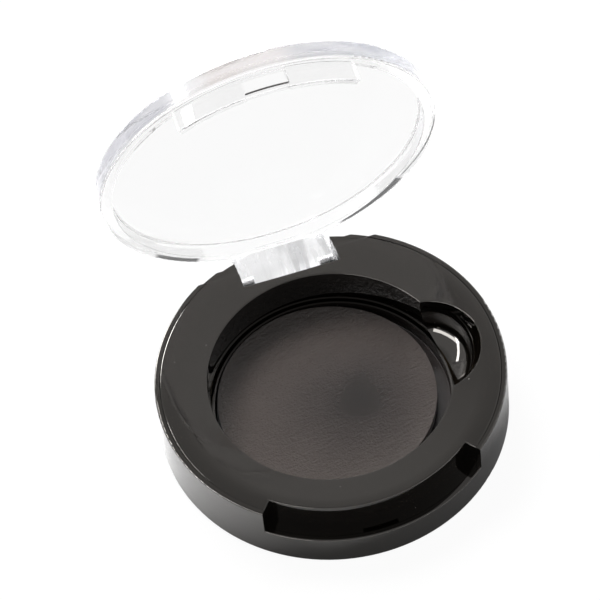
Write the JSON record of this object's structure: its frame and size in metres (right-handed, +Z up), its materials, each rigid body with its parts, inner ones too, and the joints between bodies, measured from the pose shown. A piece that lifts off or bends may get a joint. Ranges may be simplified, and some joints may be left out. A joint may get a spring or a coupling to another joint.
{
  "type": "pocket wet palette",
  "caption": "Round pocket wet palette: glossy black two-piece base with a deep well, finger scoop and catch recess, lift-out water pan with pad and sheet, clear hinged snap lid.",
  "frame": {"origin": "centre of the base's round underside, on the surface that it stands on", "axes": "+Z up out of the well, +Y towards the lid hinge, +X towards the finger scoop"},
  "size_m": [0.053, 0.0593, 0.0559],
  "materials": {
    "black_gloss": "high-gloss moulded black plastic",
    "clear_plastic": "clear polished plastic",
    "pin_steel": "bright drawn wire",
    "magnet_plate": "nickel plated",
    "pan_enamel": "dark glossy enamel inside, gold lacquer outside",
    "damp_pad": "damp dark felt",
    "sheet_film": "dark satin film with fine diagonal creases"
  },
  "bodies": {
    "base": {"outer_shell": "black_gloss", "tray_insert": "black_gloss", "hinge_pin_left": "pin_steel", "hinge_pin_right": "pin_steel", "pan_magnet": "magnet_plate"},
    "lid": {"lid": "clear_plastic"},
    "pan": {"pan": "pan_enamel", "absorbent_pad": "damp_pad", "palette_sheet": "sheet_film"}
  },
  "joints": [
    {"name": "lid_hinge", "type": "hinge", "parent": "base", "child": "lid", "pos_m": [0, 0.02374, 0.00522], "axis": [-1, 0, 0], "range_deg": [-84, 21]},
    {"name": "pan_lift", "type": "slide", "parent": "base", "child": "pan", "axis": [0, 0, 1], "range_m": [0, 0.009]}
  ]
}
